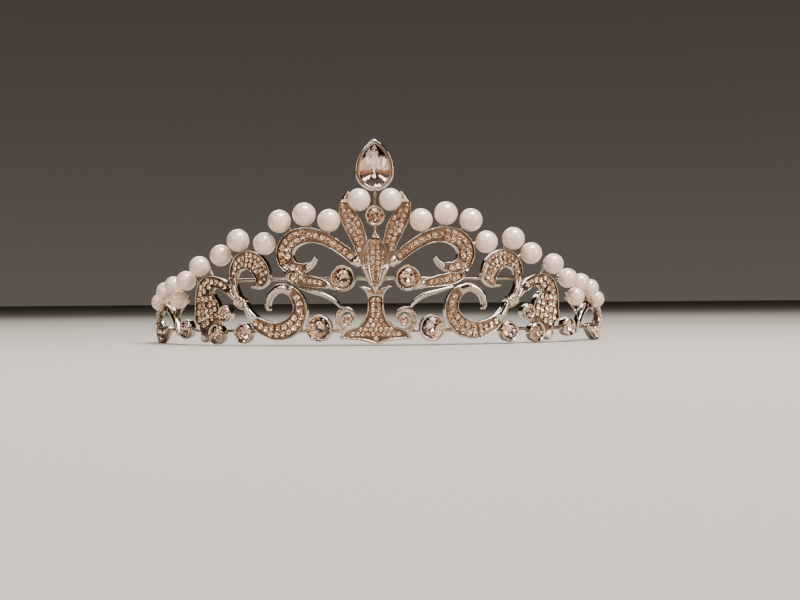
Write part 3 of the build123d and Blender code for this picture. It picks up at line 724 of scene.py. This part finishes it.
random.seed(11)
pave_nodes = sorted(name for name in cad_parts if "_pave" in name)
for node in pave_nodes:
    stones = round_places(node)
    cut, beads = [], []
    for s, z, radius in stones:
        tilt = [math.radians(random.uniform(-SEAT_TILT, SEAT_TILT)) for _ in range(2)]
        spin = random.uniform(0, math.pi / PAVE_MAINS)
        seat = radius * GIRDLE_SHARE
        place = ring_frame(s, z, FLOOR_R + seat)
        place = place @ Matrix.Rotation(tilt[0], 4, "X") @ Matrix.Rotation(tilt[1], 4, "Y")
        place = place @ Matrix.Rotation(spin, 4, "Z")
        gem = cut_stone(lambda angle: radius, PAVE_MAINS, radius * CROWN_SHARE, GIRDLE_MM,
                        seat - POINT_ROOM)
        cut.append(set_stone(gem, place))
    for s, z in bead_spots(stones):
        beads.append(bead(ring_frame(s, z, FLOOR_R + BEAD_RISE), BEAD_R))
    vertices, faces, looks = join(cut)
    piece(f"{node}_stones", vertices, faces, [pave_glass, pave_foil], [node], looks,
          smooth=False)
    vertices, faces, looks = join(beads)
    piece(f"{node}_beads", vertices, faces, [polished])
    print(node, len(stones), "stones,", len(beads), "beads")

# %% [markdown]
# A bezel is a turned cup whose lip is pressed over the stone's girdle. It is a profile spun about the
# stone's axis, with a rounded lip that catches one bright line of light.

# %% Round bezels
CUP_WALL = 0.75
CUP_TURNS = 48
GEM_HEIGHT = 2.55


def spun(profile, place, turns=CUP_TURNS):
    """Spin a profile of (radius, height) points in mm about a place's outward axis."""
    rows = []
    for k in range(turns):
        angle = k * 2 * math.pi / turns
        rows.append([place @ (Vector((r * math.cos(angle), r * math.sin(angle), h)) * MM)
                     for r, h in profile])
    return closed_sweep(rows, caps=True)


def cup_profile(radius):
    """Foot, flared wall, rounded lip, and the inner slope down to the floor."""
    inner = radius - CUP_WALL
    return [
        (radius - 0.55, 0.0), (radius - 0.3, 0.05), (radius - 0.2, 0.3), (radius - 0.12, 1.0),
        (radius, 1.5), (radius, 2.2), (radius - 0.03, 2.55), (radius - 0.12, 2.82),
        (radius - 0.27, 2.97), (radius - 0.42, 2.98), (radius - 0.56, 2.9), (radius - 0.68, 2.74),
        (inner, 2.58), (inner - 0.02, 2.2), (inner - 0.05, 0.7),
    ]


def crystal_for(radius):
    """The brilliant that fills a round bezel."""
    girdle = radius - CUP_WALL + 0.04
    return cut_stone(lambda angle: girdle, 8, girdle * 0.3, 0.12, 1.6)


ROUND_SETTINGS = {
    "crown_bezel": "crown_crystal", "curl_bezels": "curl_crystals",
    "large_bezels_right": "large_crystals_right", "large_bezels_left": "large_crystals_left",
    "small_bezels_right": "small_crystals_right", "small_bezels_left": "small_crystals_left",
}
for bezel_node, crystal_node in ROUND_SETTINGS.items():
    cups, gems = [], []
    for s, z, radius in round_places(bezel_node):
        place = ring_frame(s, z, BACK_R)
        cups.append(spun(cup_profile(radius), place))
        gems.append(set_stone(crystal_for(radius), place @ Matrix.Translation((0, 0, GEM_HEIGHT * MM))))
    vertices, faces, looks = join(cups)
    piece(f"{bezel_node}_turned", vertices, faces, [bezel_plate], [bezel_node])
    vertices, faces, looks = join(gems)
    piece(f"{crystal_node}_cut", vertices, faces, [clear_glass, rose_foil],
          [crystal_node], looks, smooth=False)
    print(bezel_node, len(cups), "settings")

# %% [markdown]
# The pear-shaped stone at the top has a half-round foot and two long arcs that meet in a point. The
# distance from its centre to the outline at each angle is enough to draw the bezel's profile round it
# and to cut the stone. The bezel has an outer edge and, inside a fine groove, a second lip that holds
# the stone.

# %% Pear outline
pear_low, pear_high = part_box("pear_bezel")
PEAR_R = (pear_high.x - pear_low.x) / 2 / MM
PEAR_RISE = (pear_high.z - pear_low.z) / MM - PEAR_R
PEAR_CENTRE = pear_low.z / MM + PEAR_R
SIDE_R = (PEAR_R**2 + PEAR_RISE**2) / (2 * PEAR_R)
PEAR_RIM = 1.4
PEAR_TURNS = 96


def pear_reach(angle, inset=0.0):
    """Distance from the centre of the round foot to the outline moved inwards by inset."""
    if math.sin(angle) <= 0:
        return PEAR_R - inset
    centre = PEAR_R - SIDE_R
    arc = SIDE_R - inset
    across = abs(math.cos(angle))
    return centre * across + math.sqrt(arc**2 - (centre * math.sin(angle))**2)


PEAR_PROFILE = [
    (0.5, 0.0), (0.18, 0.08), (0.06, 0.5), (0.0, 1.2), (0.0, 2.5), (0.04, 2.85), (0.14, 3.1),
    (0.3, 3.25), (0.48, 3.26), (0.62, 3.15), (0.68, 3.05), (0.74, 3.14), (0.88, 3.3), (1.04, 3.32),
    (1.18, 3.22), (1.3, 3.02), (1.4, 2.85), (1.42, 2.4), (1.45, 0.7),
]
pear_place = Matrix.Translation((0, pear_high.y, PEAR_CENTRE * MM)) @ ring_frame(0, 0, 0)
rows = []
for k in range(PEAR_TURNS):
    angle = k * 2 * math.pi / PEAR_TURNS
    rows.append([pear_place @ (Vector((pear_reach(angle, inset) * math.cos(angle),
                                       pear_reach(angle, inset) * math.sin(angle), height)) * MM)
                 for inset, height in PEAR_PROFILE])
vertices, faces, _ = closed_sweep(rows, caps=True)
piece("pear_bezel_raised", vertices, faces, [bezel_plate], ["pear_bezel"])
print("pear:", round(2 * PEAR_R, 1), "by", round(PEAR_R + PEAR_RISE, 1), "mm")

# %% [markdown]
# The pear is cut like the round stones, with twice as many facets because it is large. Its outline
# goes under the bezel's lip by a twentieth of a millimetre, so that no gap shows.

# %% Pear crystal
PEAR_MAINS = 16
PEAR_TUCK = 0.05
PEAR_CROWN, PEAR_GIRDLE, PEAR_DEPTH, PEAR_TABLE = 1.1, 0.15, 1.9, 0.6
PEAR_GEM_HEIGHT = 2.85
pear_gem = cut_stone(lambda angle: pear_reach(angle, PEAR_RIM - PEAR_TUCK), PEAR_MAINS, PEAR_CROWN,
                     PEAR_GIRDLE, PEAR_DEPTH, PEAR_TABLE)
vertices, faces, looks = set_stone(pear_gem, pear_place @ Matrix.Translation((0, 0, PEAR_GEM_HEIGHT * MM)))
piece("pear_crystal_cut", vertices, faces, [clear_glass, clear_foil], ["pear_crystal"],
      looks, smooth=False)
print("the pear has", len(faces), "facets")

# %% [markdown]
# The pearls are beads that were half drilled. Each is a ball, a little out of round, with the dimple
# of its drilled hole at the back, where its cup hides it. It isn't a plain sphere: a slow noise over
# its surface changes the radius by up to about one percent, so no two highlights are alike.

# %% Pearls
PEARL_ROWS = 24
OUT_OF_ROUND = 0.006


def pearl_mesh(s, z, radius, seed):
    """A pearl as rows round its outward axis, with a soft hollow at the drilled back."""
    place = ring_frame(s, z, BACK_R + radius)
    rows = []
    for k in range(1, PEARL_ROWS):
        angle = math.pi * k / PEARL_ROWS
        row = []
        for turn in range(2 * PEARL_ROWS):
            way = Vector((math.sin(angle) * math.cos(turn * math.pi / PEARL_ROWS),
                          math.sin(angle) * math.sin(turn * math.pi / PEARL_ROWS), math.cos(angle)))
            swell = 1 - OUT_OF_ROUND * (1 + noise.noise(way * 1.3 + Vector((seed, 0, 0))))
            row.append(place @ (way * radius * swell * MM))
        rows.append(row)
    vertices, faces, looks = skin(rows, caps=False)
    vertices += [place @ Vector((0, 0, radius * 0.99 * MM)), place @ Vector((0, 0, -radius * 0.97 * MM))]
    pole, drilled = len(vertices) - 2, len(vertices) - 1
    around = 2 * PEARL_ROWS
    last = (PEARL_ROWS - 2) * around
    for k in range(around):
        faces.append([pole, k, (k + 1) % around])
        faces.append([drilled, last + (k + 1) % around, last + k])
    return vertices, faces, [0] * len(faces)


pearl_nodes = sorted(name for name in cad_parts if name.endswith("pearls")
                     or "_pearls_" in name)
pearls = []
for node in pearl_nodes:
    parts = []
    for s, z, radius in round_places(node):
        pearls.append((s, z, radius))
        parts.append(pearl_mesh(s, z, radius, len(pearls)))
    vertices, faces, looks = join(parts)
    piece(f"{node}_lacquered", vertices, faces, [pearl_coat], [node])
print(len(pearls), "pearls, radius", round(min(p[2] for p in pearls), 2), "to",
      round(max(p[2] for p in pearls), 2), "mm")

# %% [markdown]
# Each pearl is glued on a peg that rises from a shallow cup, and a flat strut carries the cup to the
# back of the casting. The cup is spun like the bezels. The strut is a rounded bar, slimmest in the
# middle where it was drawn, that starts at the pearl and ends where the design's strut ends.

# %% Pegs, cups and struts
STRUT_R = 74.4
STRUT_HALF_W = 0.62
STRUT_WAIST = 0.12
STRUT_MIDDLE = 0.3
STRUT_HALF_H = 0.29
STRUT_END = 0.5
STRUT_STEPS = 8
CUP_PROFILE = [(0.9, 0.0), (1.2, 0.12), (1.3, 0.35), (1.32, 0.62), (1.22, 0.72), (1.0, 0.62),
               (0.5, 0.6), (0.45, 2.4)]


def peg_mesh(points):
    """Cup behind the nearest pearl and a strut to the far end of the CAD strut."""
    flat = [ring_place(p) for p in points]
    s, z, radius = min(pearls, key=lambda p: min(math.dist(p[:2], q[:2]) for q in flat))
    far = max(flat, key=lambda q: math.dist((s, z), q[:2]))
    reach = math.dist((s, z), far[:2])
    way = ((far[0] - s) / reach, (far[1] - z) / reach)
    place = ring_frame(s, z, STRUT_R)
    cup = spun(CUP_PROFILE, place, 24)
    rows = []
    for k in range(STRUT_STEPS + 1):
        share = k / STRUT_STEPS
        along = share * (reach - STRUT_END)
        half_w = STRUT_HALF_W - STRUT_WAIST * math.sin(math.pi * share)
        at = (s + way[0] * along, z + way[1] * along)
        row = []
        for turn in range(12):
            angle = turn * math.pi / 6
            side = math.cos(angle) * half_w
            rise = STRUT_MIDDLE + STRUT_HALF_H * math.sin(angle)
            row.append(ring_point(at[0] - way[1] * side, at[1] + way[0] * side, STRUT_R + rise))
        rows.append(row)
    return join([cup, skin(rows)])


for node in ("crown_pearl_pegs", "pearl_pegs_right", "pearl_pegs_left"):
    vertices, faces, looks = join([peg_mesh(points) for points in solids_of(node)])
    piece(f"{node}_soldered", vertices, faces, [wire_plate], [node])
    print(node, len(solids_of(node)), "pegs")

# %% [markdown]
# Round wires run behind the castings. They are drawn wire, bent to the ring and soldered at every
# crossing, so each is a tube with rounded ends and small fillets of solder where it meets a casting.

# %% Rear wires
WIRE_SIDES = 16
WIRE_STEP_MM = 1.5
SOLDER_R = 0.95


def ring_wire(node):
    """A tube that follows the ring between the ends of a CAD wire."""
    places = [ring_place(v.co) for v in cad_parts[node].data.vertices]
    heights = [z for _, z, _ in places]
    wire_r = (max(heights) - min(heights)) / 2
    z = (max(heights) + min(heights)) / 2
    start, stop = min(s for s, _, _ in places), max(s for s, _, _ in places)
    r = max(r for _, _, r in places) - wire_r
    steps = max(int((stop - start) / WIRE_STEP_MM), 8)
    rows = []
    for k in range(-3, steps + 4):
        inside = min(max(k, 0), steps)
        past = k - inside
        angle = abs(past) * math.pi / 6
        slim = max(math.cos(angle), 0.08)
        ahead = math.copysign(math.sin(angle) * wire_r, past) if past else 0.0
        s = start + wire_r + (stop - start - 2 * wire_r) * inside / steps + ahead
        rows.append([ring_point(s, z + math.sin(turn * 2 * math.pi / WIRE_SIDES) * wire_r * slim,
                                r + math.cos(turn * 2 * math.pi / WIRE_SIDES) * wire_r * slim)
                     for turn in range(WIRE_SIDES)])
    return skin(rows)


def solder_spot(s, z, wide):
    """A low, soft mound of solder on the back of a casting."""
    place = ring_frame(s, z, BACK_R - 0.05)
    return spun([(wide, 0.02), (wide * 0.85, -0.25), (wide * 0.6, -0.5), (wide * 0.3, -0.66),
                 (0.04, -0.7)], place, 20)


WIRE_JOINTS = {
    "base_wire": (4.6, (0.0, 4.5, 17.0, 28.0, 34.5, 42.8, 53.9, 61.5, 70.1, 77.0, 88.0, 99.0)),
    "upper_wire_right": (20.2, (2.6, 9.75, 22.0, 36.0, 47.0)),
    "upper_wire_left": (20.2, (-2.6, -9.75, -22.0, -36.0, -47.0)),
}
for node, (z, joints) in WIRE_JOINTS.items():
    vertices, faces, looks = ring_wire(node)
    piece(f"{node}_drawn", vertices, faces, [wire_plate], [node])
    both = [-s for s in joints if s > 0] + list(joints) if node == "base_wire" else list(joints)
    vertices, faces, looks = join([solder_spot(s, z, SOLDER_R) for s in both])
    piece(f"{node}_solder", vertices, faces, [solder])
    print(node, len(both), "solder joints")

# %% [markdown]
# One upright wire behind the centre carries the pear. It is drawn and tumbled too, so its two ends
# are rounded over and its middle is a touch slimmer. Each pair is a share of the length and the
# share of the radius there.

# %% Centre stem
STEM_SIDES = 16
STEM_PROFILE = ((0, 0.3), (0.01, 0.8), (0.03, 1), (0.3, 0.96), (0.6, 0.96), (0.97, 1), (0.99, 0.8),
                (1, 0.3))
stem_low, stem_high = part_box("centre_stem")
stem_r = (stem_high.x - stem_low.x) / 2
stem_y = (stem_high.y + stem_low.y) / 2
rows = []
for share, slim in STEM_PROFILE:
    height = stem_low.z + (stem_high.z - stem_low.z) * share
    rows.append([Vector((math.cos(k * 2 * math.pi / STEM_SIDES) * stem_r * slim,
                         stem_y + math.sin(k * 2 * math.pi / STEM_SIDES) * stem_r * slim, height))
                 for k in range(STEM_SIDES)])
vertices, faces, looks = skin(rows)
piece("centre_stem_drawn", vertices, faces, [wire_plate], ["centre_stem"])
print("stem:", round((stem_high.z - stem_low.z) / MM, 1), "mm long, radius", round(stem_r / MM, 2), "mm")

# %% [markdown]
# Where three scrolls meet, a ridged collar binds their ends. It is turned like a bead with three
# ridges, and lies along the line of the scrolls. A smooth curve through seven radii draws its
# profile, which is then spun about the collar's length.

# %% Collars
COLLAR_TILT = 25.0
COLLAR_RADII = (1.5, 2.0, 1.6, 2.1, 1.6, 2.0, 1.5)
COLLAR_LENGTH = 3.6
for side, mirror in (("right", 1), ("left", -1)):
    node = f"collar_{side}"
    s, z, r = ring_place(middle([v.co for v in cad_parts[node].data.vertices]))
    tilt = Matrix.Rotation(math.radians(mirror * COLLAR_TILT), 4, "Z")
    place = ring_frame(s, z, r) @ tilt @ Matrix.Rotation(math.radians(90), 4, "Y")
    stations = [(k * COLLAR_LENGTH / (len(COLLAR_RADII) - 1) - COLLAR_LENGTH / 2, radius, 0)
                for k, radius in enumerate(COLLAR_RADII)]
    profile = [(radius, height) for height, radius, _ in smooth_line(stations, 4)]
    ends = [(0.6, profile[0][1] - 0.12), (1.2, profile[0][1] - 0.06)]
    far_ends = [(1.2, profile[-1][1] + 0.06), (0.6, profile[-1][1] + 0.12)]
    vertices, faces, looks = spun(ends + profile + far_ends, place, 32)
    piece(f"collar_{side}_ridged", vertices, faces, [polished], [node])
    print(node, "at", round(s, 1), round(z, 1))

# %% [markdown]
# The base wire ends in a loop at each side, where a hairpin holds the tiara on the head. It is a
# piece of the same wire bent into a ring, so its section is swept round a circle and meets itself.

# %% Pin loops
LOOP_MIDDLE_R = 1.75
LOOP_HALF_W = 0.55
LOOP_HALF_H = 0.6
LOOP_TURNS = 40
LOOP_SIDES = 12
for side in ("right", "left"):
    node = f"pin_loop_{side}"
    points = [v.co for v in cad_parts[node].data.vertices]
    s, z, r = ring_place(middle(points))
    place = ring_frame(s, z, r)
    rows = []
    for k in range(LOOP_TURNS):
        angle = k * 2 * math.pi / LOOP_TURNS
        row = []
        for turn in range(LOOP_SIDES):
            around = turn * 2 * math.pi / LOOP_SIDES
            reach = LOOP_MIDDLE_R + LOOP_HALF_W * math.cos(around)
            row.append(place @ (Vector((reach * math.cos(angle), reach * math.sin(angle),
                                        LOOP_HALF_H * math.sin(around))) * MM))
        rows.append(row)
    vertices, faces, _ = closed_sweep(rows)
    piece(f"pin_loop_{side}_bent", vertices, faces, [wire_plate], [node])
    print(node, "at", round(s, 1), round(z, 1))

# %% [markdown]
# A plain pale floor, and a surround. Polished metal shows what is round it, so the surround matters
# as much as the lamps: it goes from a mid tone low down through dark to a mid tone overhead, which
# gives the metal its light and dark bands. The floor is matt paper with a faint fibre.

# %% Floor and surround
floor_material, tree, output = new_material("matt_paper_floor")
place = add(tree, "ShaderNodeTexCoord").outputs["Object"]
fibre = add(tree, "ShaderNodeTexNoise", {"Vector": place, "Scale": 1 / (0.8 * MM), "Detail": 4.0})
shade = ramp(tree, fibre.outputs["Fac"], [(0.3, linear("#B3ACA4")), (0.7, linear("#B9B3AB"))])
shader = add(tree, "ShaderNodeBsdfPrincipled", {"Base Color": shade, "Roughness": 0.85})
tree.links.new(shader.outputs["BSDF"], output.inputs["Surface"])
FLOOR_SIDES = 48
rows = []
for radius in (0.02, 0.1, 0.3, 0.8, 2.0, 6.0):
    rows.append([Vector((radius * math.cos(k * 2 * math.pi / FLOOR_SIDES),
                         radius * math.sin(k * 2 * math.pi / FLOOR_SIDES), 0))
                 for k in range(FLOOR_SIDES)])
vertices, faces, _ = skin(rows, caps=False)
faces.append(list(range(FLOOR_SIDES)))
mesh = bpy.data.meshes.new("floor")
mesh.from_pydata([tuple(v) for v in vertices], [], faces)
mesh.materials.append(floor_material)
floor = bpy.data.objects.new("floor", mesh)
bpy.context.scene.collection.objects.link(floor)

world = bpy.data.worlds.new("studio")
bpy.context.scene.world = world
world.use_nodes = True
tree = world.node_tree
tree.nodes.clear()
direction = add(tree, "ShaderNodeTexCoord").outputs["Generated"]
split = add(tree, "ShaderNodeSeparateXYZ", {"Vector": direction})
sky = ramp(tree, split.outputs["Z"], [
    (0.0, linear("#7E756C")), (0.12, linear("#6A6159")), (0.42, linear("#3B3028")),
    (0.75, linear("#2B231D")), (1.0, linear("#5A5149"))])
background = add(tree, "ShaderNodeBackground", {"Color": sky, "Strength": 0.55})
add(tree, "ShaderNodeOutputWorld", {"Surface": background.outputs["Background"]})
print("floor radius", radius, "m; surround:", world.name)

# %% [markdown]
# The lamps are rectangles of soft light. A large one above and in front is the main light, narrow
# strips at the sides and in front draw bright lines along the rims, one behind lifts the pearls off
# the background, and a weak warm one low in front brings out the gold of the crystals. The camera
# doesn't see the lamps themselves.

# %% Soft boxes
def soft_box(name, place, target, width, height, power, colour):
    """A rectangular area lamp that looks at a target."""
    lamp = bpy.data.lights.new(name, "AREA")
    lamp.shape = "RECTANGLE"
    lamp.size = width
    lamp.size_y = height
    lamp.energy = power
    lamp.color = linear(colour)[:3]
    made = bpy.data.objects.new(name, lamp)
    made.location = place
    made.rotation_mode = "QUATERNION"
    made.rotation_quaternion = (Vector(target) - Vector(place)).to_track_quat("-Z", "Y")
    made.visible_camera = False
    bpy.context.scene.collection.objects.link(made)


FRONT_OF_TIARA = (0, -0.06, 0.03)
soft_box("key_box", (0.16, -0.26, 0.66), FRONT_OF_TIARA, 0.42, 0.30, 12.0, "#FFF9F2")
soft_box("left_strip", (-0.55, -0.55, 0.38), FRONT_OF_TIARA, 0.08, 0.50, 1.3, "#FFEEDD")
soft_box("right_strip", (0.62, -0.50, 0.26), FRONT_OF_TIARA, 0.08, 0.50, 2.2, "#FFF3E6")
soft_box("front_strip", (-0.12, -0.95, 0.50), FRONT_OF_TIARA, 0.60, 0.07, 2.2, "#FFF6EA")
soft_box("rear_box", (-0.15, 0.55, 0.60), (0, -0.04, 0.03), 0.50, 0.35, 3.0, "#F6F2EE")
soft_box("warm_fill", (0.0, -1.0, 0.12), (0, -0.06, 0.02), 1.3, 0.22, 0.6, "#DCA27C")
print("lamps:", sorted(lamp.name for lamp in bpy.data.lights))

# %% [markdown]
# The camera stands level with the tiara's lower third, about 45 cm in front of it and a little to the
# right of its middle, with a lens of 67.5 mm. That is how such a piece is seen when it is held up to
# look at. A hand-held camera is never quite level, so it is rolled by less than half a degree.

# %% Camera
CAMERA_PLACE = (0.0073, -0.525, 0.0137)
CAMERA_ROLL = 0.45
LENS_MM = 67.5
SENSOR_MM = 36
camera_data = bpy.data.cameras.new("camera")
camera_data.lens = LENS_MM
camera_data.sensor_width = SENSOR_MM
camera_data.clip_start = 0.01
camera = bpy.data.objects.new("camera", camera_data)
camera.location = CAMERA_PLACE
camera.rotation_euler = (math.radians(90), math.radians(CAMERA_ROLL), 0)
bpy.context.scene.collection.objects.link(camera)
bpy.context.scene.camera = camera
print("angle of view:", round(math.degrees(camera_data.angle), 1), "degrees across")
